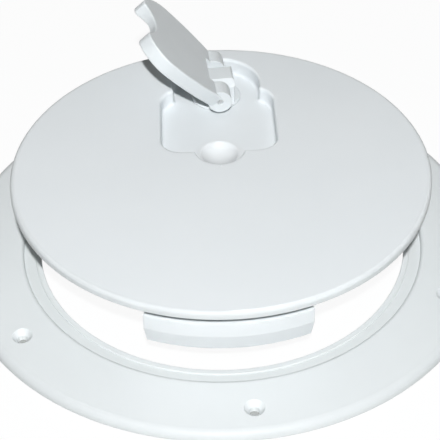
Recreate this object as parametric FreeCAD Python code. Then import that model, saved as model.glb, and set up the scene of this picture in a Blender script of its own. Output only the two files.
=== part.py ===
import FreeCAD, Part
import math
import os

# Round deck inspection plate: a screwed-down ring and a lift-off lid with a flush turn handle.
# Millimetres, +Z up. The origin is the middle of the ring's underside, on the deck.
# The lid is shown lifted straight up out of its ring, with the handle raised and turned aside.

# Deck ring
opening_radius = 97.4
lip_width = 3.1
lip_height = 3.4                # upstand round the opening
lip_round = 0.6
seat_width = 5.9
seat_height = 2.6               # floor of the recess that takes the lid's gasket
recess_edge_round = 2.2
flange_width = 33.6
flange_height = 6.0             # height of the flange beside the recess
ring_edge_height = 4.8          # height of the flange at its outer edge
ring_edge_round = 4.2
ring_skin = 2.4                 # moulded wall of the hollow flange
ring_rim_wall = 3.2
rib_width = 1.8
ribs_per_screw = 4

# Screw holes in the ring
screw_count = 6
screw_edge_distance = 15.3      # from the screw circle out to the ring's edge
screw_first_angle = -85.2
screw_hole_radius = 2.6
countersink_radius = 5.1
screw_boss_radius = 8.5

# Lid
lid_overhang = 2.1              # how far the lid's rim laps over the flange
lid_rim_thickness = 4.6
lid_plate_thickness = 3.2
lid_edge_round = 2.0
lid_low_edge_round = 0.7
lid_rest_height = 48.0          # underside of the lifted lid's rim above the deck
spigot_clearance = 1.8          # between the spigot and the recess wall
spigot_width = 3.4
spigot_depth = 2.8
lid_rib_count = 12
lid_rib_depth = 3.0
lid_rib_start_radius = 47.0
gate_mark_radius = 0.9
gate_mark_height = 0.35
gate_mark_distance = 13.0       # in front of the well

# Gasket under the spigot
gasket_width = 2.2
gasket_groove_depth = 1.2
gasket_height = 1.9

# Hook tongue at the front of the lid
hook_half_angle = 22.7
hook_overlap = 7.2              # how far the ledge reaches under the ring's lip
hook_gap = 0.3                  # closed gap between ledge and ring, and between cam and ring
hook_face_height = 8.6
hook_lead_in_height = 9.4
hook_lead_in_set_back = 2.0
hook_wall = 3.0
hook_neck_clearance = 0.6
hook_gusset_count = 4
hook_gusset_reach = 5.0
hook_end_taper = 0.5

# Handle well in the lid
well_half_width = 30.8
well_front_distance = 61.0      # from the spindle forward to the well's front
well_rear_distance = 4.5        # from the spindle forward to the trough's rear
well_depth = 9.0
well_wall = 2.4
well_floor_thickness = 3.0
well_front_corner_radius = 11.0
well_rear_corner_radius = 13.0
well_floor_round = 1.5
well_edge_round = 1.6
well_junction_round = 2.5
scoop_edge_round = 1.2
lobe_radius = 24.2              # round end of the well that the handle's knuckles turn in
scoop_radius = 13.2             # finger scoop under the end of the handle
scoop_front = (1.6, 1.8)        # behind the well's front, and above the lid's face: its front centre
scoop_rear = (9.0, -0.5)

# Spindle
spindle_edge_distance = 34.5    # from the spindle back to the lid's edge
spindle_flange_radius = 13.6
spindle_flange_thickness = 1.5
spindle_radius = 7.0
spindle_running_clearance = 0.06
flat_clearance = 0.3            # between flat faces that turn past each other
drive_width = 9.0
drive_clearance = 0.05
lug_front = 6.6                 # from the hinge axis towards the handle
lug_rear = 9.7
lug_shoulder_height = 1.5       # above the hinge axis, where the lug's sides lean in
lug_top_height = 5.0
lug_top_half_width = 5.5
lug_rear_round = 2.0
lug_corner_round = 1.5
seal_section_radius = 0.72
seal_groove_width = 1.7
washer_radius = 11.0
washer_thickness = 0.8

# Handle
hinge_height = 1.6              # hinge axis above the lid's face
knuckle_radius = 6.5
knuckle_half_span = 20.7
knuckle_length = 10.8
knuckle_end_step = 0.6          # the knuckle's end stands this far out of the handle's side
handle_length = 57.5
handle_half_width = 29.0
handle_shoulder = 37.0          # distance from the hinge to the widest place
handle_waist_inset = 3.4        # narrower than the shoulder, at the waist
handle_waist = 16.0             # distance from the hinge to where the waist is measured
handle_bend_inset = 2.4         # from the widest place, where the side turns to the end
handle_bend_setback = 8.0       # from the handle's end
prong_outer_inset = 10.7
prong_outer_setback = 0.5
prong_middle_inset = 12.7
handle_top = 2.75               # top face above the hinge axis
handle_thickness = 8.1
handle_root_gap = 3.1           # fork root to knuckle radius
handle_wall = 2.6
handle_face_thickness = 2.4
handle_edge_round = 0.9
notch_corner_inset = 14.7       # from the widest place to the notch's sharp corners
notch_corner_setback = 0.3
notch_depth = 7.0
core_start = 13.0               # distance from the hinge to the hollow in the underside
core_end_setback = 21.5
grip_radius = 30.0              # finger recess in the underside at the notch
grip_depth = 3.5
grip_setback = 5.5
pin_radius = 1.6
pin_running_clearance = 0.05
pin_recess = 0.8
handle_raised = 48.3            # degrees up from lying flat, as shown
handle_turned = -85.0           # degrees from pointing at the front, as shown

# Latch cam
cam_overlap = 8.4               # how far the cam reaches under the ring beyond the clear opening
cam_half_width = 6.5
cam_thickness = 5.4
cam_nose_clearance = 2.6        # nose to the round end's outside, so it also passes the trough's corner
cam_hub_radius = 9.0
cam_screw_radius = 2.5
cam_screw_length = 9.0
cam_screw_head_radius = 4.6
cam_screw_head_height = 2.9
cam_screw_socket = 2.5
cam_washer_radius = 7.4
cam_washer_thickness = 1.0

# Heights, radii and places that follow from the sizes above
lip_outer = opening_radius + lip_width
recess_radius = lip_outer + seat_width
ring_radius = recess_radius + flange_width
screw_circle_radius = ring_radius - screw_edge_distance
lid_radius = recess_radius + lid_overhang
spindle_y = lid_radius - spindle_edge_distance
well_front_y = spindle_y - well_front_distance
well_rear_y = spindle_y - well_rear_distance
cam_reach = opening_radius + cam_overlap - spindle_y
lid_bottom = lid_rest_height
lid_top = lid_bottom + lid_rim_thickness
plate_bottom = lid_top - lid_plate_thickness
spigot_outer = recess_radius - spigot_clearance
spigot_inner = spigot_outer - spigot_width
spigot_bottom = lid_bottom - spigot_depth
# closed, the rim stands on the flange, so the ring's underside is flange_height below it
ring_underside_when_closed = lid_bottom - flange_height
catch_height = ring_underside_when_closed - hook_gap
well_floor = lid_top - well_depth
well_underside = well_floor - well_floor_thickness
hinge_z = lid_top + hinge_height
hook_outer = opening_radius + hook_overlap
handle_bottom = handle_top - handle_thickness
flange_bottom = well_floor + flat_clearance
flange_top = flange_bottom + spindle_flange_thickness
washer_top = well_underside - flat_clearance
washer_bottom = washer_top - washer_thickness
cam_top = washer_bottom
cam_bottom = cam_top - cam_thickness


def point(x, y, z):
    return FreeCAD.Vector(x, y, z)


axis_z = point(0, 0, 1)
spindle_foot = point(0, spindle_y, 0)


def polygon_face(points):
    return Part.Face(Part.makePolygon(points + [points[0]]))


def revolved(radius_height_pairs, angle=360.0, start=0.0):
    """Turn a closed outline of (radius, height) pairs about Z."""
    face = polygon_face([point(radius, 0, height) for radius, height in radius_height_pairs])
    face.rotate(point(0, 0, 0), axis_z, start)
    return face.revolve(point(0, 0, 0), axis_z, angle)


def circle_edges(shape, radius, height):
    """The full or part circles about Z with this radius and height."""
    found = []
    for edge in shape.Edges:
        if not isinstance(edge.Curve, Part.Circle):
            continue
        centre = edge.Curve.Center
        on_axis = math.hypot(centre.x, centre.y) < 0.01
        if on_axis and abs(edge.Curve.Radius - radius) < 0.01 and abs(centre.z - height) < 0.01:
            found.append(edge)
    return found


def upright_edges(shape):
    """Straight edges that stand parallel to Z."""
    found = []
    for edge in shape.Edges:
        if isinstance(edge.Curve, Part.Line) and abs(edge.Curve.Direction.z) > 0.999:
            found.append(edge)
    return found


def flat_edges(shape, height):
    """Edges that lie wholly at one height."""
    return [edge for edge in shape.Edges
            if abs(edge.BoundBox.ZMin - height) < 0.01 and abs(edge.BoundBox.ZMax - height) < 0.01]


def on_spindle(shape):
    """Turn a piece built facing the front to where the spindle stands."""
    shape.rotate(spindle_foot, axis_z, handle_turned)
    return shape


def flange_surface(radius):
    """Height of the flange's sloping top at a radius."""
    share = (radius - recess_radius) / (ring_radius - recess_radius)
    return flange_height + share * (ring_edge_height - flange_height)


# Deck ring: one moulding, hollow below with ribs and screw bosses
def screw_places():
    for index in range(screw_count):
        angle = math.radians(screw_first_angle + index * 360.0 / screw_count)
        yield point(screw_circle_radius * math.cos(angle), screw_circle_radius * math.sin(angle), 0)


def ring_hollow():
    inner = recess_radius + ring_rim_wall
    outer = ring_radius - ring_rim_wall
    hollow = revolved([(inner, -1), (inner, flange_surface(inner) - ring_skin),
                       (outer, flange_surface(outer) - ring_skin), (outer, -1)])
    rib_count = screw_count * ribs_per_screw
    for index in range(rib_count):
        rib = Part.makeBox(ring_radius, rib_width, flange_height + 2, point(0, -rib_width / 2, -1))
        rib.rotate(point(0, 0, 0), axis_z, screw_first_angle + index * 360.0 / rib_count)
        hollow = hollow.cut(rib)
    for place in screw_places():
        hollow = hollow.cut(Part.makeCylinder(screw_boss_radius, flange_height + 2, place - axis_z))
    return hollow


def make_deck_ring():
    ring = revolved([
        (opening_radius, 0), (opening_radius, lip_height), (lip_outer, lip_height),
        (lip_outer, seat_height), (recess_radius, seat_height), (recess_radius, flange_height),
        (ring_radius, ring_edge_height), (ring_radius, 0)])
    ring = ring.makeFillet(ring_edge_round, circle_edges(ring, ring_radius, ring_edge_height))
    ring = ring.makeFillet(recess_edge_round, circle_edges(ring, recess_radius, flange_height))
    lip_edges = circle_edges(ring, opening_radius, lip_height) + circle_edges(ring, lip_outer, lip_height)
    ring = ring.makeFillet(lip_round, lip_edges)
    ring = ring.cut(ring_hollow())
    surface = flange_surface(screw_circle_radius)
    sink_depth = countersink_radius - screw_hole_radius
    for place in screw_places():
        hole = Part.makeCylinder(screw_hole_radius, flange_height + 2, place - axis_z)
        sink = Part.makeCone(screw_hole_radius, countersink_radius + 1, sink_depth + 1,
                             place + point(0, 0, surface - sink_depth))
        ring = ring.cut(hole.fuse(sink))
    return ring


# Lid: one moulding with its well, scoop, spigot, ribs and hook tongue
def well_tool(grow, bottom, top):
    """The handle well's form, from bottom to top, grown outwards by a wall."""
    half = well_half_width + grow
    front = well_front_y - grow
    rear = well_rear_y + grow
    height = top - bottom
    trough = Part.makeBox(2 * half, rear - front, height, point(-half, front, bottom))
    front_edges = []
    rear_edges = []
    for edge in upright_edges(trough):
        if edge.Vertexes[0].Y < (front + rear) / 2:
            front_edges.append(edge)
        else:
            rear_edges.append(edge)
    trough = trough.makeFillet(well_front_corner_radius + grow, front_edges)
    rear_corners = [edge for edge in upright_edges(trough)
                    if abs(edge.Vertexes[0].Y - rear) < 0.01 and abs(abs(edge.Vertexes[0].X) - half) < 0.01]
    trough = trough.makeFillet(well_rear_corner_radius + grow, rear_corners)
    lobe = Part.makeCylinder(lobe_radius + grow, height, point(0, spindle_y, bottom))
    return trough.fuse(lobe).removeSplitter()


def scoop_tool(radius):
    front = point(0, well_front_y + scoop_front[0], lid_top + scoop_front[1])
    rear = point(0, well_front_y + scoop_rear[0], lid_top + scoop_rear[1])
    along = rear - front
    tool = Part.makeCylinder(radius, along.Length, front, along)
    return tool.fuse([Part.makeSphere(radius, front), Part.makeSphere(radius, rear)]).removeSplitter()


def make_hook():
    """Tongue that hooks under the front of the ring: neck, ledge, face and gussets."""
    neck_outer = opening_radius - hook_neck_clearance
    neck_inner = neck_outer - hook_wall
    face_bottom = catch_height - hook_face_height
    tip_bottom = face_bottom - hook_lead_in_height
    tip_outer = hook_outer - hook_lead_in_set_back
    start = -90.0 - hook_half_angle
    hook = revolved([
        (neck_inner, plate_bottom + 1), (neck_outer, plate_bottom + 1), (neck_outer, catch_height),
        (hook_outer, catch_height), (hook_outer, face_bottom), (tip_outer, tip_bottom),
        (tip_outer - hook_wall, tip_bottom), (hook_outer - hook_wall, face_bottom),
        (hook_outer - hook_wall, catch_height - hook_wall), (neck_inner, catch_height - hook_wall)],
        2 * hook_half_angle, start)
    gusset_step = 2 * hook_half_angle / (hook_gusset_count - 1)
    gusset_angle = math.degrees(hook_wall * 0.7 / neck_inner)
    for index in range(hook_gusset_count):
        middle = start + index * gusset_step
        first = min(max(middle - gusset_angle / 2, start), -start - 180.0 - gusset_angle)
        hook = hook.fuse(revolved([
            (neck_inner - hook_gusset_reach, plate_bottom + 0.5), (neck_inner + 0.5, plate_bottom + 0.5),
            (neck_inner + 0.5, catch_height - hook_wall + 0.5),
            (hook_outer - hook_wall + 0.5, catch_height - hook_wall + 0.5),
            (hook_outer - hook_wall + 0.5, face_bottom),
            (tip_outer - hook_wall + 0.5, tip_bottom + 1), (tip_outer - hook_wall, tip_bottom + 1)],
            gusset_angle, first))
    # the ends of the lead-in narrow towards the tip
    half = math.radians(hook_half_angle)
    for side in (-1, 1):
        corner = point(side * hook_outer * math.sin(half), -hook_outer * math.cos(half), face_bottom)
        inward = point(-side * math.cos(half), -math.sin(half), 0)
        wedge = polygon_face([
            corner, corner - inward * hook_wall, corner - inward * hook_wall - axis_z * (hook_lead_in_height + 2),
            corner + inward * hook_end_taper - axis_z * (hook_lead_in_height + 0.01)])
        radial = point(side * math.sin(half), -math.cos(half), 0)
        wedge.translate(radial * hook_wall)
        hook = hook.cut(wedge.extrude(radial * (neck_inner - hook_gusset_reach - hook_outer - 2 * hook_wall)))
    return hook.removeSplitter()


def lid_ribs():
    """Radial ribs under the plate, from the well out to the spigot."""
    ribs = []
    length = spigot_inner + 0.5 - lid_rib_start_radius
    for index in range(lid_rib_count):
        rib = Part.makeBox(length, rib_width, lid_rib_depth + 0.5,
                           point(lid_rib_start_radius, -rib_width / 2, plate_bottom - lid_rib_depth))
        rib.rotate(point(0, 0, 0), axis_z, (index + 0.5) * 360.0 / lid_rib_count)
        ribs.append(rib)
    return ribs


def junction_edges(well):
    """The two inner corners where the trough opens into the round lobe."""
    found = []
    for edge in upright_edges(well):
        foot = edge.Vertexes[0].Point
        reach = math.hypot(foot.x, foot.y - spindle_y)
        if abs(reach - lobe_radius) < 0.01 and foot.y < spindle_y - 1:
            found.append(edge)
    return found


def top_edges_inside(lid, rear_limit):
    """Edges on the lid's face that reach no further back than this."""
    return [edge for edge in flat_edges(lid, lid_top)
            if edge.BoundBox.DiagonalLength < 1.5 * lid_radius and edge.BoundBox.YMax < rear_limit + 0.1]


def make_lid():
    groove_middle = (spigot_inner + spigot_outer) / 2
    groove_inner = groove_middle - gasket_width / 2
    groove_outer = groove_middle + gasket_width / 2
    groove_top = spigot_bottom + gasket_groove_depth
    lid = revolved([
        (0, lid_top), (lid_radius, lid_top), (lid_radius, lid_bottom), (spigot_outer, lid_bottom),
        (spigot_outer, spigot_bottom), (groove_outer, spigot_bottom), (groove_outer, groove_top),
        (groove_inner, groove_top), (groove_inner, spigot_bottom), (spigot_inner, spigot_bottom),
        (spigot_inner, plate_bottom), (0, plate_bottom)])
    lid = lid.makeFillet(lid_edge_round, circle_edges(lid, lid_radius, lid_top))
    lid = lid.makeFillet(lid_low_edge_round, circle_edges(lid, lid_radius, lid_bottom))
    below = Part.makeBox(4 * lid_radius, 4 * lid_radius, lid_radius,
                         point(-2 * lid_radius, -2 * lid_radius, plate_bottom + 0.5 - lid_radius))
    lid = lid.fuse(lid_ribs() + [
        well_tool(well_wall, well_underside, plate_bottom + 0.5),
        scoop_tool(scoop_radius + well_wall).common(below),
        make_hook()]).removeSplitter()
    well = well_tool(0, well_floor, lid_top + 1)
    well = well.makeFillet(well_junction_round, junction_edges(well))
    well = well.makeFillet(well_floor_round, flat_edges(well, well_floor))
    lid = lid.cut(well)
    lid = lid.makeFillet(well_edge_round, top_edges_inside(lid, lobe_radius + spindle_y))
    lid = lid.cut(scoop_tool(scoop_radius))
    lid = lid.makeFillet(scoop_edge_round, top_edges_inside(lid, well_front_y + well_edge_round))
    lid = lid.cut(Part.makeCylinder(spindle_radius + spindle_running_clearance, well_depth * 2,
                                    point(0, spindle_y, well_underside - 1)))
    gate_mark = Part.makeCone(gate_mark_radius, gate_mark_radius / 2, gate_mark_height + 0.5,
                              point(0, well_front_y - gate_mark_distance, lid_top - 0.5))
    return lid.fuse(gate_mark)


def make_lid_gasket():
    middle = (spigot_inner + spigot_outer) / 2
    inner = middle - gasket_width / 2
    outer = middle + gasket_width / 2
    top = spigot_bottom + gasket_groove_depth
    gasket = revolved([(inner, top), (outer, top), (outer, top - gasket_height), (inner, top - gasket_height)])
    low_edges = circle_edges(gasket, inner, top - gasket_height)
    low_edges += circle_edges(gasket, outer, top - gasket_height)
    return gasket.makeFillet(gasket_width / 4, low_edges)


# Spindle with the lug that carries the handle, built facing the front
def make_spindle():
    lug_half_width = knuckle_half_span - knuckle_length - flat_clearance
    spindle = Part.makeCylinder(spindle_flange_radius, spindle_flange_thickness,
                                point(0, spindle_y, flange_bottom))
    spindle = spindle.makeFillet(0.8, [edge for edge in flat_edges(spindle, flange_top)])
    shaft = Part.makeCylinder(spindle_radius, flange_bottom - washer_bottom + 0.5,
                              point(0, spindle_y, washer_bottom))
    drive = Part.makeBox(drive_width, drive_width, cam_thickness + 0.5,
                         point(-drive_width / 2, spindle_y - drive_width / 2, cam_bottom))
    lug_front_y = spindle_y - lug_front
    lug_top = hinge_z + lug_top_height
    lug_shoulder = hinge_z + lug_shoulder_height
    lug = polygon_face([
        point(-lug_half_width, lug_front_y, flange_top - 0.5), point(lug_half_width, lug_front_y, flange_top - 0.5),
        point(lug_half_width, lug_front_y, lug_shoulder), point(lug_top_half_width, lug_front_y, lug_top),
        point(-lug_top_half_width, lug_front_y, lug_top), point(-lug_half_width, lug_front_y, lug_shoulder)])
    lug = lug.extrude(point(0, lug_front + lug_rear, 0))
    lug = lug.makeFillet(lug_corner_round, upright_edges(lug))
    rear_top = [edge for edge in flat_edges(lug, lug_top) if edge.BoundBox.YMin > spindle_y + lug_rear - 0.01]
    lug = lug.makeFillet(lug_rear_round, rear_top)
    spindle = spindle.fuse([shaft, drive, lug]).removeSplitter()
    seal_middle = (well_floor + well_underside) / 2
    seal_groove_radius = spindle_radius - 2 * seal_section_radius
    groove = Part.makeCylinder(spindle_radius + 1, seal_groove_width,
                               point(0, spindle_y, seal_middle - seal_groove_width / 2))
    groove = groove.cut(Part.makeCylinder(seal_groove_radius, seal_groove_width,
                                          point(0, spindle_y, seal_middle - seal_groove_width / 2)))
    bore = Part.makeCylinder(pin_radius + 0.02, 2 * knuckle_half_span,
                             point(-knuckle_half_span, spindle_y, hinge_z), point(1, 0, 0))
    screw_bore = Part.makeCylinder(cam_screw_radius + 0.02, cam_screw_length + 0.5,
                                   point(0, spindle_y, cam_bottom))
    return on_spindle(spindle.cut(groove.fuse([bore, screw_bore])))


def make_spindle_seal():
    middle = (well_floor + well_underside) / 2
    ring_middle = spindle_radius - seal_section_radius + spindle_running_clearance / 2
    return Part.makeTorus(ring_middle, seal_section_radius, point(0, spindle_y, middle))


def make_thrust_washer():
    washer = Part.makeCylinder(washer_radius, washer_thickness, point(0, spindle_y, washer_bottom))
    return washer.cut(Part.makeCylinder(spindle_radius + 0.1, washer_thickness,
                                        point(0, spindle_y, washer_bottom)))


# Handle, built flat and facing the front, its hinge axis on X through the origin
def handle_outline():
    """Plan of the handle's plate: a fork at the hinge, rounded shoulders and an end notch."""
    root = knuckle_radius + handle_root_gap
    inner = knuckle_half_span - knuckle_length
    tip = -handle_length
    shoulder = (handle_half_width, -handle_shoulder)
    prong = (handle_half_width - prong_outer_inset, tip + prong_outer_setback)
    notch_side = (handle_half_width - notch_corner_inset, tip + notch_corner_setback)

    def arc(first, middle, last):
        return Part.Arc(point(*first, 0), point(*middle, 0), point(*last, 0)).toShape()

    def mirrored(place):
        return (-place[0], place[1])

    hinge_corner = (knuckle_half_span - knuckle_end_step, 0)
    waist = (handle_half_width - handle_waist_inset, -handle_waist)
    bend = (handle_half_width - handle_bend_inset, tip + handle_bend_setback)
    prong_end = (handle_half_width - prong_middle_inset, tip)
    notch_floor = (0, tip + notch_depth)
    edges = [arc(hinge_corner, waist, shoulder), arc(shoulder, bend, prong),
             arc(prong, prong_end, notch_side),
             arc(notch_side, notch_floor, mirrored(notch_side)),
             arc(mirrored(notch_side), mirrored(prong_end), mirrored(prong)),
             arc(mirrored(prong), mirrored(bend), mirrored(shoulder)),
             arc(mirrored(shoulder), mirrored(waist), mirrored(hinge_corner))]
    corners = [mirrored(hinge_corner), (-inner, 0), (-inner, -root), (inner, -root), (inner, 0), hinge_corner]
    for first, last in zip(corners, corners[1:]):
        edges.append(Part.makeLine(point(*first, 0), point(*last, 0)))
    return Part.Wire(Part.__sortEdges__(edges))


def make_handle():
    plate = Part.Face(handle_outline())
    plate.translate(point(0, 0, handle_bottom))
    body = plate.extrude(point(0, 0, handle_thickness))
    rims = flat_edges(body, handle_bottom + handle_thickness) + flat_edges(body, handle_bottom)
    outer_rims = [edge for edge in rims if isinstance(edge.Curve, Part.Circle)]
    body = body.makeFillet(handle_edge_round, outer_rims)
    knuckles = []
    for start in (-knuckle_half_span, knuckle_half_span - knuckle_length):
        knuckles.append(Part.makeCylinder(knuckle_radius, knuckle_length, point(start, 0, 0), point(1, 0, 0)))
    body = body.fuse(knuckles)
    # cored out from below, with a rib down the middle, and dished for the fingers at the notch
    core = plate.makeOffset2D(-handle_wall)
    core = core.extrude(point(0, 0, handle_thickness - handle_face_thickness))
    core_end = handle_length - core_end_setback
    cored_part = Part.makeBox(4 * handle_half_width, core_end - core_start, 4 * handle_thickness,
                              point(-2 * handle_half_width, -core_end, -2 * handle_thickness))
    rib = Part.makeBox(rib_width, handle_length, 4 * handle_thickness,
                       point(-rib_width / 2, -handle_length, -2 * handle_thickness))
    body = body.cut(core.common(cored_part).cut(rib))
    body = body.cut(Part.makeSphere(grip_radius, point(0, grip_setback - handle_length,
                                                       handle_bottom + grip_depth - grip_radius)))
    body = body.cut(Part.makeCylinder(pin_radius + pin_running_clearance, 2 * knuckle_half_span,
                                      point(-knuckle_half_span, 0, 0), point(1, 0, 0)))
    return in_hinge(body.removeSplitter())


def in_hinge(shape):
    """Raise a piece built on the hinge axis, set it on the lug and turn it with the spindle."""
    shape.rotate(point(0, 0, 0), point(-1, 0, 0), handle_raised)
    shape.translate(point(0, spindle_y, hinge_z))
    return on_spindle(shape)


def make_hinge_pin():
    half = knuckle_half_span - pin_recess
    pin = Part.makeCylinder(pin_radius, 2 * half, point(-half, 0, 0), point(1, 0, 0))
    pin = pin.makeChamfer(0.3, [edge for edge in pin.Edges if isinstance(edge.Curve, Part.Circle)])
    return in_hinge(pin)


# Latch cam under the lid, built pointing at the rear while the handle faces the front
def make_latch_cam():
    nose_start = lobe_radius + well_wall + cam_nose_clearance
    nose_top = catch_height
    slope_start = nose_start - 0.1
    side = [point(-cam_half_width, spindle_y, cam_bottom), point(-cam_half_width, spindle_y, cam_top),
            point(-cam_half_width, spindle_y + slope_start, cam_top),
            point(-cam_half_width, spindle_y + nose_start, nose_top),
            point(-cam_half_width, spindle_y + cam_reach, nose_top),
            point(-cam_half_width, spindle_y + cam_reach, cam_bottom + 1.5),
            point(-cam_half_width, spindle_y + cam_reach - 4, cam_bottom)]
    arm = polygon_face(side).extrude(point(2 * cam_half_width, 0, 0))
    reach = Part.makeCylinder(cam_reach, 4 * cam_thickness, point(0, spindle_y, cam_bottom - cam_thickness))
    arm = arm.common(reach)
    hub = Part.makeCylinder(cam_hub_radius, cam_thickness, point(0, spindle_y, cam_bottom))
    cam = hub.fuse(arm).removeSplitter()
    hole_width = drive_width + 2 * drive_clearance
    hole = Part.makeBox(hole_width, hole_width, 2 * cam_thickness,
                        point(-hole_width / 2, spindle_y - hole_width / 2, cam_bottom - 1))
    return on_spindle(cam.cut(hole))


def make_cam_washer():
    bottom = cam_bottom - cam_washer_thickness
    washer = Part.makeCylinder(cam_washer_radius, cam_washer_thickness, point(0, spindle_y, bottom))
    return washer.cut(Part.makeCylinder(cam_screw_radius + 0.1, cam_washer_thickness, point(0, spindle_y, bottom)))


def make_cam_screw():
    head_top = cam_bottom - cam_washer_thickness
    head = Part.makeCylinder(cam_screw_head_radius, cam_screw_head_height,
                             point(0, spindle_y, head_top - cam_screw_head_height))
    head = head.makeFillet(1.0, flat_edges(head, head_top - cam_screw_head_height))
    shank = Part.makeCylinder(cam_screw_radius, cam_screw_length + cam_washer_thickness,
                              point(0, spindle_y, head_top))
    screw = head.fuse(shank)
    arm_length = 2 * cam_screw_socket
    slot_bottom = head_top - cam_screw_head_height
    for turn in (0, 90):
        arm = Part.makeBox(arm_length, 1.0, 1.8, point(-arm_length / 2, spindle_y - 0.5, slot_bottom - 0.01))
        arm.rotate(spindle_foot, axis_z, turn)
        screw = screw.cut(arm)
    return on_spindle(screw)


os.makedirs("parts", exist_ok=True)

pieces = {
    "deck_ring": make_deck_ring,
    "lid": make_lid,
    "lid_gasket": make_lid_gasket,
    "spindle": make_spindle,
    "spindle_seal": make_spindle_seal,
    "thrust_washer": make_thrust_washer,
    "handle": make_handle,
    "hinge_pin": make_hinge_pin,
    "latch_cam": make_latch_cam,
    "cam_washer": make_cam_washer,
    "cam_screw": make_cam_screw,
}

for name, make in pieces.items():
    shape = make()
    if shape.ShapeType == "Compound" and len(shape.Solids) == 1:
        shape = shape.Solids[0]
    shape.exportStep("parts/" + name + ".step")
    box = shape.BoundBox
    print(name, "solids", len(shape.Solids), "valid", shape.isValid(), "volume", round(shape.Volume),
          "z", round(box.ZMin, 2), round(box.ZMax, 2))
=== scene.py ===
# Deck inspection plate: round screw-down ring with a lifted lid and a fold-out turn handle
import bpy
import math
from mathutils import Matrix, Vector

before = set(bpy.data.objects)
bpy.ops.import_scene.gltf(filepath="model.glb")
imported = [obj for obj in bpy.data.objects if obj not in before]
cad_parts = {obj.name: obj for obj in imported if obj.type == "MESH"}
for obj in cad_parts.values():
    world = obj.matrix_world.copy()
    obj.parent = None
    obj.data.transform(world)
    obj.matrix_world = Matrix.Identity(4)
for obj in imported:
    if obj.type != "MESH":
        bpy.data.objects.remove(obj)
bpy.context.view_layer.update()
print("frame loaded", sorted(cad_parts))

scene = bpy.context.scene
scene.view_settings.view_transform = "Standard"
plainWhite = (1.0, 1.0, 1.0, 1.0)


def outerRadius(node):
    # how far a piece reaches from the ring's upright axis
    reach = max(math.hypot(vertex.co.x, vertex.co.y) for vertex in node.data.vertices)
    return round(reach, 6)


ringRadius = outerRadius(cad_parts["deck_ring"])
lidRadius = outerRadius(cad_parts["lid"])
pastEdge = 0.06   # takes the band of painted shade on a rim well past the rim itself
print("ring radius", ringRadius, "lid radius", lidRadius)

# Camera, at the photograph's own height and tilt
cameraSetup = {
    "place": (-0.01437, -0.54224, 0.48209),
    "target": (0.00438, 0.01670, 0.0),
    "roll": -0.0144,        # radians
    "sensorWidth": 36.0,    # mm, as is the lens
    "lens": 109.51,
    "shiftX": -0.0205,
    "shiftY": 0.0025,
    "nearLimit": 0.01,
}


def addCamera(setup):
    data = bpy.data.cameras.new("photoCamera")
    data.sensor_width = setup["sensorWidth"]
    data.lens = setup["lens"]
    data.shift_x = setup["shiftX"]
    data.shift_y = setup["shiftY"]
    data.clip_start = setup["nearLimit"]
    camera = bpy.data.objects.new("photoCamera", data)
    scene.collection.objects.link(camera)
    place = Vector(setup["place"])
    aim = (Vector(setup["target"]) - place).to_track_quat("-Z", "Y").to_matrix().to_4x4()
    camera.matrix_world = Matrix.Translation(place) @ aim @ Matrix.Rotation(setup["roll"], 4, "Z")
    scene.camera = camera


addCamera(cameraSetup)
print("camera set")


# Small helpers for node trees
def feed(tree, socket, value):
    # a socket takes a link from another socket, or a plain value
    if isinstance(value, bpy.types.NodeSocket):
        tree.links.new(value, socket)
    else:
        socket.default_value = value


def feeding(socket):
    # what is linked to a socket now
    return socket.links[0].from_socket


def addNode(tree, kind, **settings):
    node = tree.nodes.new(kind)
    for key, value in settings.items():
        setattr(node, key, value)
    return node


def readPlace(tree):
    # Object coordinates, which are the frame's own metres
    return addNode(tree, "ShaderNodeTexCoord").outputs["Object"]


def addMath(tree, operation, *values):
    node = addNode(tree, "ShaderNodeMath", operation=operation)
    for socket, value in zip(node.inputs, values):
        feed(tree, socket, value)
    return node.outputs["Value"]


def addVectorMath(tree, operation, *values):
    node = addNode(tree, "ShaderNodeVectorMath", operation=operation)
    for socket, value in zip(node.inputs, values):
        feed(tree, socket, value)
    return node.outputs["Value" if operation in ("LENGTH", "DISTANCE") else "Vector"]


# The Mix node has sockets for every kind of data, and these are the places of its colours
mixFirst = 6
mixSecond = 7
mixResult = 2


def addBlend(tree, share, first, second):
    node = addNode(tree, "ShaderNodeMix", data_type="RGBA")
    feed(tree, node.inputs["Factor"], share)
    feed(tree, node.inputs[mixFirst], first)
    feed(tree, node.inputs[mixSecond], second)
    return node.outputs[mixResult]


def addShader(tree, kind, **values):
    node = addNode(tree, kind)
    for label, value in values.items():
        feed(tree, node.inputs[label], value)
    return node.outputs[0]


def addShaderMix(tree, share, first, second):
    node = addNode(tree, "ShaderNodeMixShader")
    for socket, value in zip(node.inputs, (share, first, second)):
        feed(tree, socket, value)
    return node.outputs["Shader"]


def seenDirectly(tree):
    # 1 for what the camera, a reflection or a clear piece sees, 0 for light that falls on the object
    path = addNode(tree, "ShaderNodeLightPath")
    mirrored = addMath(tree, "MAXIMUM", path.outputs["Is Glossy Ray"], path.outputs["Is Transmission Ray"])
    return addMath(tree, "MAXIMUM", path.outputs["Is Camera Ray"], mirrored)


# Lights: a small lamp above the camera, soft fills behind and below for the far sides, a weak pale studio
lightSetup = {
    "keyPlace": (-0.0075, -0.645, 0.690),
    "keyWatts": 45.5,
    "keyRadius": 0.012,
    "keyColor": (0.99, 0.995, 1.0),
    "softAngle": 70.0,
    "softColor": (1.0, 0.985, 0.90),
    "softFills": (   # elevation and azimuth, in degrees, are where the light comes from
        {"name": "rearFill", "elevation": 22.0, "azimuth": 170.0, "strength": 0.16},
        {"name": "underFill", "elevation": -58.0, "azimuth": 15.0, "strength": 1.05},
    ),
    "studioColor": (1.0, 0.99, 0.88, 1.0),
    "studioStrength": 0.035,
}


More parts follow.
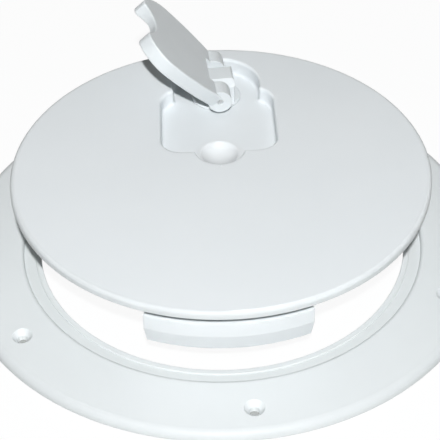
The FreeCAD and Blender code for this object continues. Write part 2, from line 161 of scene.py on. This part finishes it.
def addKey(setup):
    data = bpy.data.lights.new("keyLight", "POINT")
    data.energy = setup["keyWatts"]
    data.color = setup["keyColor"]
    data.shadow_soft_size = setup["keyRadius"]
    # the lamp fades evenly with distance, so the front isn't much lighter than the back
    data.use_nodes = True
    tree = data.node_tree
    fade = addNode(tree, "ShaderNodeLightFalloff")
    feed(tree, fade.inputs["Strength"], 1.0)
    feed(tree, tree.nodes["Emission"].inputs["Strength"], fade.outputs["Linear"])
    lamp = bpy.data.objects.new("keyLight", data)
    lamp.location = setup["keyPlace"]
    scene.collection.objects.link(lamp)


def addSoftFills(setup):
    for fill in setup["softFills"]:
        data = bpy.data.lights.new(fill["name"], "SUN")
        data.energy = fill["strength"]
        data.color = setup["softColor"]
        data.angle = math.radians(setup["softAngle"])
        lamp = bpy.data.objects.new(fill["name"], data)
        scene.collection.objects.link(lamp)
        rise = math.radians(fill["elevation"])
        turn = math.radians(fill["azimuth"])
        level = math.cos(rise)
        cameFrom = Vector((level * math.sin(turn), -level * math.cos(turn), math.sin(rise)))
        lamp.rotation_euler = cameFrom.to_track_quat("Z", "Y").to_euler()


def addStudio(setup):
    world = bpy.data.worlds.new("studio")
    scene.world = world
    world.use_nodes = True
    tree = world.node_tree
    tree.nodes.clear()
    kind = "ShaderNodeBackground"
    fill = addShader(tree, kind, Color=setup["studioColor"], Strength=setup["studioStrength"])
    backdrop = addShader(tree, kind, Color=plainWhite, Strength=1.0)   # a strength of 1 is white
    out = addNode(tree, "ShaderNodeOutputWorld")
    feed(tree, out.inputs["Surface"], addShaderMix(tree, seenDirectly(tree), fill, backdrop))


addKey(lightSetup)
addSoftFills(lightSetup)
addStudio(lightSetup)
print("lights set")

# Floor: pale and plain, white to the camera, and below the flange left in its own shade and painted dark
# as shade for the screw holes
floorSetup = {
    "height": -0.0003,
    "size": 6.0,
    "color": (0.84, 0.86, 0.87, 1.0),
    "bounceColor": (0.36, 0.37, 0.37, 1.0),   # what the floor throws back up at the object
    "whiteness": 0.93,                        # the rest keeps the object's shadow
    "paintedHoleShade": (0.33, 0.34, 0.335, 1.0),    # painted shade on the strip that is seen through the screw holes
    "stripInside": 0.108,                     # radii of that strip
    "stripOutside": ringRadius - 0.001,
}


def buildFloorPaint(setup):
    mat = bpy.data.materials.new("paleFloor")
    mat.use_nodes = True
    tree = mat.node_tree
    tree.nodes.clear()
    radius = addVectorMath(tree, "LENGTH", readPlace(tree))
    beyond = addMath(tree, "GREATER_THAN", radius, setup["stripInside"])
    within = addMath(tree, "LESS_THAN", radius, setup["stripOutside"])
    strip = addMath(tree, "MULTIPLY", beyond, within)
    seen = seenDirectly(tree)
    tone = addBlend(tree, seen, setup["bounceColor"], setup["color"])
    # under the flange the floor is painted dark: painted shade seen in the screw holes
    matte = addShader(tree, "ShaderNodeBsdfDiffuse", Color=addBlend(tree, strip, tone, setup["paintedHoleShade"]))
    glow = addShader(tree, "ShaderNodeEmission", Color=plainWhite)
    openFloor = addMath(tree, "SUBTRACT", 1.0, strip)
    whiteShare = addMath(tree, "MULTIPLY", addMath(tree, "MULTIPLY", openFloor, setup["whiteness"]), seen)
    lit = addShaderMix(tree, whiteShare, matte, glow)
    # clear from below, and to shadow rays, so that the fill from below reaches the object's underside
    side = addNode(tree, "ShaderNodeNewGeometry")
    path = addNode(tree, "ShaderNodeLightPath")
    openSide = addMath(tree, "MAXIMUM", side.outputs["Backfacing"], path.outputs["Is Shadow Ray"])
    clear = addShader(tree, "ShaderNodeBsdfTransparent")
    out = addNode(tree, "ShaderNodeOutputMaterial")
    feed(tree, out.inputs["Surface"], addShaderMix(tree, openSide, lit, clear))
    return mat


def addFloor(setup):
    bpy.ops.object.select_all(action="DESELECT")
    bpy.ops.mesh.primitive_plane_add(size=setup["size"], location=(0.0, 0.0, setup["height"]))
    floor = bpy.context.active_object
    floor.name = "paleFloor"
    bpy.ops.object.transform_apply(location=True, rotation=False, scale=False)
    floor.data.materials.append(buildFloorPaint(setup))


addFloor(floorSetup)
print("floor laid")


# Effects of the materials, as node groups. What is fixed stands above each, and the pieces give the rest
socketKinds = {   # all other sockets are numbers
    "Color": "NodeSocketColor",
    "Shade": "NodeSocketColor",
    "Bloom": "NodeSocketColor",
    "Fibre": "NodeSocketColor",
    "Centre": "NodeSocketVector",
}
skinOutputs = ("Color", "Roughness", "Height")


def startGroup(name, inputs, outputs):
    # gives the group, the sockets of what goes in and the sockets of what comes out
    group = bpy.data.node_groups.new(name, "ShaderNodeTree")
    for side, labels in (("INPUT", inputs), ("OUTPUT", outputs)):
        for label in labels:
            kind = socketKinds.get(label, "NodeSocketFloat")
            group.interface.new_socket(label, in_out=side, socket_type=kind)
    return group, addNode(group, "NodeGroupInput").outputs, addNode(group, "NodeGroupOutput").inputs


def addNoise(tree, vector, scale, detail, roughness=0.5):
    node = addNode(tree, "ShaderNodeTexNoise")
    values = {"Vector": vector, "Scale": scale, "Detail": detail, "Roughness": roughness}
    for label, value in values.items():
        feed(tree, node.inputs[label], value)
    return node.outputs["Fac"]


def addRange(tree, value, bounds, results=(0.0, 1.0)):
    # a value between the two bounds becomes one between the two results
    node = addNode(tree, "ShaderNodeMapRange")
    feed(tree, node.inputs["Value"], value)
    for label, end in zip(("From Min", "From Max", "To Min", "To Max"), (*bounds, *results)):
        feed(tree, node.inputs[label], end)
    return node.outputs["Result"]


def addFlatRadius(tree, vector):
    # distance from an upright axis
    return addVectorMath(tree, "LENGTH", addVectorMath(tree, "MULTIPLY", vector, (1.0, 1.0, 0.0)))


mouldedSetup = {
    "inputs": ("Color", "Shade", "Cloud Scale", "Gloss Low", "Gloss High", "Pebble Scale"),
    "cloudDetail": 3.0,
    "cloudRange": (0.35, 0.65),
    "smear": {"scale": 95.0, "detail": 4.0, "roughness": 0.6},
    "smearRange": (0.3, 0.7),
    "pebbleDetail": 2.0,
    "pebbleShare": 0.35,
    "ripple": {"scale": 60.0, "detail": 1.0},
}


def buildMouldedSkin(setup):
    # faint flow clouding, uneven gloss, and the fine pebble of a spark-eroded mould
    group, given, result = startGroup("mouldedSkin", setup["inputs"], skinOutputs)
    place = readPlace(group)
    cloud = addNoise(group, place, given["Cloud Scale"], setup["cloudDetail"])
    share = addRange(group, cloud, setup["cloudRange"])
    feed(group, result["Color"], addBlend(group, share, given["Color"], given["Shade"]))
    smear = addNoise(group, place, **setup["smear"])
    gloss = addRange(group, smear, setup["smearRange"], (given["Gloss Low"], given["Gloss High"]))
    feed(group, result["Roughness"], gloss)
    pebble = addNoise(group, place, given["Pebble Scale"], setup["pebbleDetail"])
    ripple = addNoise(group, place, **setup["ripple"])
    finePebble = addMath(group, "MULTIPLY", pebble, setup["pebbleShare"])
    feed(group, result["Height"], addMath(group, "ADD", finePebble, ripple))
    return group


markSetup = {
    "inputs": ("Circle Radius", "Count", "Pin Radius", "Height"),
    "heightReach": 0.0006,   # a mark is only on a face this near its height
}


def buildEjectorMarks(setup):
    # round pin marks that a mould leaves on the hidden side, spaced evenly about Z at one height
    group, given, result = startGroup("ejectorMarks", setup["inputs"], ("Mark",))
    place = readPlace(group)
    split = addNode(group, "ShaderNodeSeparateXYZ")
    feed(group, split.inputs["Vector"], place)
    radius = addFlatRadius(group, place)
    angle = addMath(group, "ARCTAN2", split.outputs["Y"], split.outputs["X"])
    step = addMath(group, "DIVIDE", math.tau, given["Count"])
    steps = addMath(group, "DIVIDE", angle, step)
    fromPin = addMath(group, "SUBTRACT", steps, addMath(group, "ROUND", steps))
    across = addMath(group, "MULTIPLY", fromPin, addMath(group, "MULTIPLY", radius, step))
    outward = addMath(group, "SUBTRACT", radius, given["Circle Radius"])
    squares = [addMath(group, "MULTIPLY", leg, leg) for leg in (across, outward)]
    reach = addMath(group, "SQRT", addMath(group, "ADD", *squares))
    disc = addMath(group, "LESS_THAN", reach, given["Pin Radius"])
    offHeight = addMath(group, "ABSOLUTE", addMath(group, "SUBTRACT", split.outputs["Z"], given["Height"]))
    onFace = addMath(group, "LESS_THAN", offHeight, setup["heightReach"])
    feed(group, result["Mark"], addMath(group, "MULTIPLY", disc, onFace))
    return group


bandSetup = {
    "inputs": ("Inner", "Outer", "Softness", "Amount"),
    "blotches": {"scale": 45.0, "detail": 3.0},
    "blotchRange": (0.3, 0.7),
    "blotchShare": (0.75, 1.0),
}


def buildRadialBand(setup):
    # a band between two radii about Z, for painted shade along rims and in a recess
    group, given, result = startGroup("radialBand", setup["inputs"], ("Mask",))
    place = readPlace(group)
    radius = addFlatRadius(group, place)
    passed = []   # how far each edge of the band is passed
    for label in ("Inner", "Outer"):
        low = addMath(group, "SUBTRACT", given[label], given["Softness"])
        high = addMath(group, "ADD", given[label], given["Softness"])
        passed.append(addRange(group, radius, (low, high)))
    blotches = addNoise(group, place, **setup["blotches"])
    uneven = addRange(group, blotches, setup["blotchRange"], setup["blotchShare"])
    band = addMath(group, "MULTIPLY", addMath(group, "SUBTRACT", *passed), uneven)
    feed(group, result["Mask"], addMath(group, "MULTIPLY", band, given["Amount"]))
    return group


rubberSetup = {
    "inputs": ("Color", "Bloom"),
    "haze": {"scale": 70.0, "detail": 5.0, "roughness": 0.65},
    "hazeRange": (0.42, 0.72),
    "gloss": (0.62, 0.85),
    "pits": {"scale": 2200.0, "detail": 2.0},
}


def buildRubberBloom(setup):
    # rubber with the paler bloom and the fine pits that it has on its skin
    group, given, result = startGroup("rubberBloom", setup["inputs"], skinOutputs)
    place = readPlace(group)
    haze = addRange(group, addNoise(group, place, **setup["haze"]), setup["hazeRange"])
    feed(group, result["Color"], addBlend(group, haze, given["Color"], given["Bloom"]))
    feed(group, result["Roughness"], addRange(group, haze, (0.0, 1.0), setup["gloss"]))
    feed(group, result["Height"], addNoise(group, place, **setup["pits"]))
    return group


fibreSetup = {
    "inputs": ("Color", "Fibre"),
    "stretch": (0.22, 1.0, 1.0),   # the fibres lie along X
    "fibre": {"scale": 2600.0, "detail": 2.0},
    "fibreRange": (0.56, 0.70),
    "satin": {"scale": 220.0, "detail": 3.0},
    "satinRange": (0.3, 0.7),
    "gloss": (0.38, 0.55),
    "grain": {"scale": 1700.0, "detail": 2.0},
}


def buildFibreSpeckle(setup):
    # glass-filled nylon: short pale fibres that lie along the flow, and a satin skin
    group, given, result = startGroup("fibreSpeckle", setup["inputs"], skinOutputs)
    place = readPlace(group)
    along = addNode(group, "ShaderNodeMapping")
    feed(group, along.inputs["Vector"], place)
    feed(group, along.inputs["Scale"], setup["stretch"])
    flow = along.outputs["Vector"]
    fibre = addRange(group, addNoise(group, flow, **setup["fibre"]), setup["fibreRange"])
    feed(group, result["Color"], addBlend(group, fibre, given["Color"], given["Fibre"]))
    satin = addNoise(group, place, **setup["satin"])
    feed(group, result["Roughness"], addRange(group, satin, setup["satinRange"], setup["gloss"]))
    feed(group, result["Height"], addNoise(group, flow, **setup["grain"]))
    return group


steelSetup = {
    "inputs": ("Centre", "Ring Scale"),
    "ringDetail": 2.0,
    "smudge": {"scale": 260.0, "detail": 3.0},
    "smudgeRange": (0.3, 0.7),
    "color": (0.55, 0.56, 0.57, 1.0),
    "smudgeColor": (0.68, 0.68, 0.67, 1.0),
    "gloss": (0.22, 0.36),
}


def buildTurnedSteel(setup):
    # fine rings left by turning, about an upright axis through Centre
    group, given, result = startGroup("turnedSteel", setup["inputs"], skinOutputs)
    place = readPlace(group)
    split = addNode(group, "ShaderNodeSeparateXYZ")
    feed(group, split.inputs["Vector"], place)
    fromAxis = addVectorMath(group, "SUBTRACT", place, given["Centre"])
    line = addNode(group, "ShaderNodeCombineXYZ")
    feed(group, line.inputs["X"], addFlatRadius(group, fromAxis))
    feed(group, line.inputs["Y"], split.outputs["Z"])
    smudge = addNoise(group, place, **setup["smudge"])
    feed(group, result["Color"], addBlend(group, smudge, setup["color"], setup["smudgeColor"]))
    feed(group, result["Roughness"], addRange(group, smudge, setup["smudgeRange"], setup["gloss"]))
    rings = addNoise(group, line.outputs["Vector"], given["Ring Scale"], setup["ringDetail"])
    feed(group, result["Height"], rings)
    return group


mouldedSkin = buildMouldedSkin(mouldedSetup)
ejectorMarks = buildEjectorMarks(markSetup)
radialBand = buildRadialBand(bandSetup)
rubberBloom = buildRubberBloom(rubberSetup)
fibreSpeckle = buildFibreSpeckle(fibreSetup)
turnedSteel = buildTurnedSteel(steelSetup)
print("effects built")


# Materials: each starts from one effect, and each piece adds what it needs
def addGroup(tree, group, values):
    node = addNode(tree, "ShaderNodeGroup", node_tree=group)
    for label, value in values.items():
        feed(tree, node.inputs[label], value)
    return node.outputs


def shaderSockets(mat):
    return mat.node_tree.nodes["Principled BSDF"].inputs


def startMaterial(name, group, piece):
    # a Principled shader fed by one effect, with the effect's height as its bump
    mat = bpy.data.materials.new(name)
    mat.use_nodes = True
    tree = mat.node_tree
    effect = addGroup(tree, group, piece["skin"])
    bump = addNode(tree, "ShaderNodeBump", name="skinBump")
    feed(tree, bump.inputs["Strength"], piece["bumpStrength"])
    feed(tree, bump.inputs["Distance"], piece["bumpDistance"])
    feed(tree, bump.inputs["Height"], effect["Height"])
    shader = shaderSockets(mat)
    feed(tree, shader["Base Color"], effect["Color"])
    feed(tree, shader["Roughness"], effect["Roughness"])
    feed(tree, shader["Normal"], bump.outputs["Normal"])
    return mat


def startWhite(name, piece):
    # white plastic lets a little light in, which softens its small edges and walls
    mat = startMaterial(name, mouldedSkin, piece)
    shader = shaderSockets(mat)
    shader["Specular IOR Level"].default_value = piece["specular"]
    shader["Subsurface Weight"].default_value = piece["translucency"]
    shader["Subsurface Radius"].default_value = (1.0, 1.0, 1.0)   # red, green and blue go equally deep
    shader["Subsurface Scale"].default_value = piece["lightReach"]
    return mat


def addPinMarks(mat, pins, depth):
    tree = mat.node_tree
    height = tree.nodes["skinBump"].inputs["Height"]
    sunk = addMath(tree, "MULTIPLY", addGroup(tree, ejectorMarks, pins)["Mark"], depth)
    feed(tree, height, addMath(tree, "SUBTRACT", feeding(height), sunk))


def addBand(mat, band, paintedShadeTint):
    # the colour within the band is darkened: painted shade
    tree = mat.node_tree
    color = shaderSockets(mat)["Base Color"]
    mask = addGroup(tree, radialBand, band)["Mask"]
    feed(tree, color, addBlend(tree, mask, feeding(color), paintedShadeTint))


def addPolishAndPaintedShade(mat, polishAndShade):
    # fingers keep a small area smoother and polished; the greyer colour there is painted shade in the
    # scoop
    tree = mat.node_tree
    shader = shaderSockets(mat)
    away = addVectorMath(tree, "DISTANCE", readPlace(tree), polishAndShade["centre"])
    share = addRange(tree, away, (polishAndShade["full"], polishAndShade["none"]), (1.0, 0.0))
    smoother = addMath(tree, "MULTIPLY", share, polishAndShade["smoother"])
    feed(tree, shader["Roughness"], addMath(tree, "SUBTRACT", feeding(shader["Roughness"]), smoother))
    feed(tree, shader["Base Color"], addBlend(tree, share, feeding(shader["Base Color"]), polishAndShade["paintedShadeTint"]))


def dress(nodeName, mat):
    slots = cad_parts[nodeName].data.materials
    slots.clear()
    slots.append(mat)


# Deck ring: satin white moulding, with painted shade along its rim and in the recess
ring = {
    "skin": {
        "Color": (0.705, 0.736, 0.746, 1.0),
        "Shade": (0.686, 0.719, 0.729, 1.0),
        "Cloud Scale": 11.0,
        "Gloss Low": 0.42,
        "Gloss High": 0.52,
        "Pebble Scale": 1300.0,
    },
    "bumpStrength": 0.10,
    "bumpDistance": 0.0002,
    "specular": 0.24,
    "translucency": 0.25,
    "lightReach": 0.0012,
    "pins": {   # where the ring stands on the deck
        "Circle Radius": 0.1038,
        "Count": 18.0,
        "Pin Radius": 0.0021,
        "Height": 0.0,
    },
    "pinDepth": 1.5,
    # painted shade in the recess below the lid
    "recessPaintedShade": {"Inner": 0.0995, "Outer": 0.1062, "Softness": 0.0007, "Amount": 0.55},
    "recessPaintedShadeTint": (0.61, 0.64, 0.64, 1.0),
    # painted shade along the outer rim
    "rim": {
        "Inner": ringRadius - 0.0035,
        "Outer": ringRadius + pastEdge,
        "Softness": 0.0018,
        "Amount": 0.8,
    },
    "rimPaintedShadeTint": (0.62, 0.65, 0.66, 1.0),
}
ringWhite = startWhite("ringWhite", ring)
addPinMarks(ringWhite, ring["pins"], ring["pinDepth"])
# painted shade in the recess
addBand(ringWhite, ring["recessPaintedShade"], ring["recessPaintedShadeTint"])
# painted shade along the rim
addBand(ringWhite, ring["rim"], ring["rimPaintedShadeTint"])
dress("deck_ring", ringWhite)

# Lid: a little paler, with painted shade along its rim and in a scoop that fingers keep smooth, and pin
# marks under the plate
lid = {
    "skin": {
        "Color": (0.752, 0.784, 0.802, 1.0),
        "Shade": (0.733, 0.767, 0.786, 1.0),
        "Cloud Scale": 9.0,
        "Gloss Low": 0.42,
        "Gloss High": 0.52,
        "Pebble Scale": 1500.0,
    },
    "bumpStrength": 0.08,
    "bumpDistance": 0.0002,
    "specular": 0.24,
    "translucency": 0.50,
    "lightReach": 0.0020,
    "pins": {   # on the plate's underside
        "Circle Radius": 0.088,
        "Count": 12.0,
        "Pin Radius": 0.003,
        "Height": 0.0494,
    },
    "pinDepth": 1.5,
    "scoop": {
        "centre": (0.0, 0.019, 0.047),
        "full": 0.010,   # the smoothing and the painted shade are whole within this distance, and gone past the next
        "none": 0.016,
        "smoother": 0.27,
        "paintedShadeTint": (0.70, 0.722, 0.735, 1.0),
    },
    # painted shade along the lid's rim
    "rim": {
        "Inner": lidRadius - 0.0017,
        "Outer": lidRadius + pastEdge,
        "Softness": 0.0012,
        "Amount": 0.8,
    },
    "rimPaintedShadeTint": (0.61, 0.64, 0.65, 1.0),
}
lidWhite = startWhite("lidWhite", lid)
addPinMarks(lidWhite, lid["pins"], lid["pinDepth"])
# smoother where fingers rub, and painted shade in the scoop
addPolishAndPaintedShade(lidWhite, lid["scoop"])
# painted shade along the rim
addBand(lidWhite, lid["rim"], lid["rimPaintedShadeTint"])
dress("lid", lidWhite)

# Handle: glossier, from a smaller mould
handle = {
    "skin": {
        "Color": (0.690, 0.726, 0.742, 1.0),
        "Shade": (0.674, 0.710, 0.727, 1.0),
        "Cloud Scale": 28.0,
        "Gloss Low": 0.30,
        "Gloss High": 0.40,
        "Pebble Scale": 1900.0,
    },
    "bumpStrength": 0.10,
    "bumpDistance": 0.00015,
    "specular": 0.24,
    "translucency": 0.50,
    "lightReach": 0.0018,
}
dress("handle", startWhite("handleWhite", handle))

# Spindle: as the handle, with finer clouding
spindle = {**handle, "skin": {**handle["skin"], "Cloud Scale": 40.0}}
dress("spindle", startWhite("spindleWhite", spindle))

# Gasket: grey rubber, which shows as a thin grey line below the lid
gasket = {
    "skin": {"Color": (0.52, 0.55, 0.53, 1.0), "Bloom": (0.60, 0.63, 0.61, 1.0)},
    "bumpStrength": 0.35,
    "bumpDistance": 0.0001,
}
dress("lid_gasket", startMaterial("gasketGrey", rubberBloom, gasket))

# O-ring round the spindle: black rubber
seal = {
    "skin": {"Color": (0.022, 0.022, 0.023, 1.0), "Bloom": (0.07, 0.07, 0.072, 1.0)},
    "bumpStrength": 0.35,
    "bumpDistance": 0.0001,
}
dress("spindle_seal", startMaterial("sealBlack", rubberBloom, seal))

# Latch cam: black glass-filled nylon
cam = {
    "skin": {"Color": (0.018, 0.018, 0.02, 1.0), "Fibre": (0.09, 0.09, 0.095, 1.0)},
    "bumpStrength": 0.25,
    "bumpDistance": 0.0001,
}
dress("latch_cam", startMaterial("camBlack", fibreSpeckle, cam))

# Thrust washer: plain nylon
washer = {
    "skin": {
        "Color": (0.62, 0.60, 0.54, 1.0),
        "Shade": (0.56, 0.54, 0.48, 1.0),
        "Cloud Scale": 60.0,
        "Gloss Low": 0.42,
        "Gloss High": 0.58,
        "Pebble Scale": 1800.0,
    },
    "bumpStrength": 0.15,
    "bumpDistance": 0.0001,
}
dress("thrust_washer", startMaterial("washerNylon", mouldedSkin, washer))

# Hinge pin, cam washer and cam screw: stainless steel, its turning rings about the spindle's axis
steel = {
    "skin": {"Centre": (0.0, 0.074, 0.0), "Ring Scale": 5200.0},
    "bumpStrength": 0.12,
    "bumpDistance": 0.00005,
    "metallic": 1.0,
}
for nodeName in ("hinge_pin", "cam_washer", "cam_screw"):
    turned = startMaterial(nodeName + "Steel", turnedSteel, steel)
    shaderSockets(turned)["Metallic"].default_value = steel["metallic"]
    dress(nodeName, turned)
print("materials set")
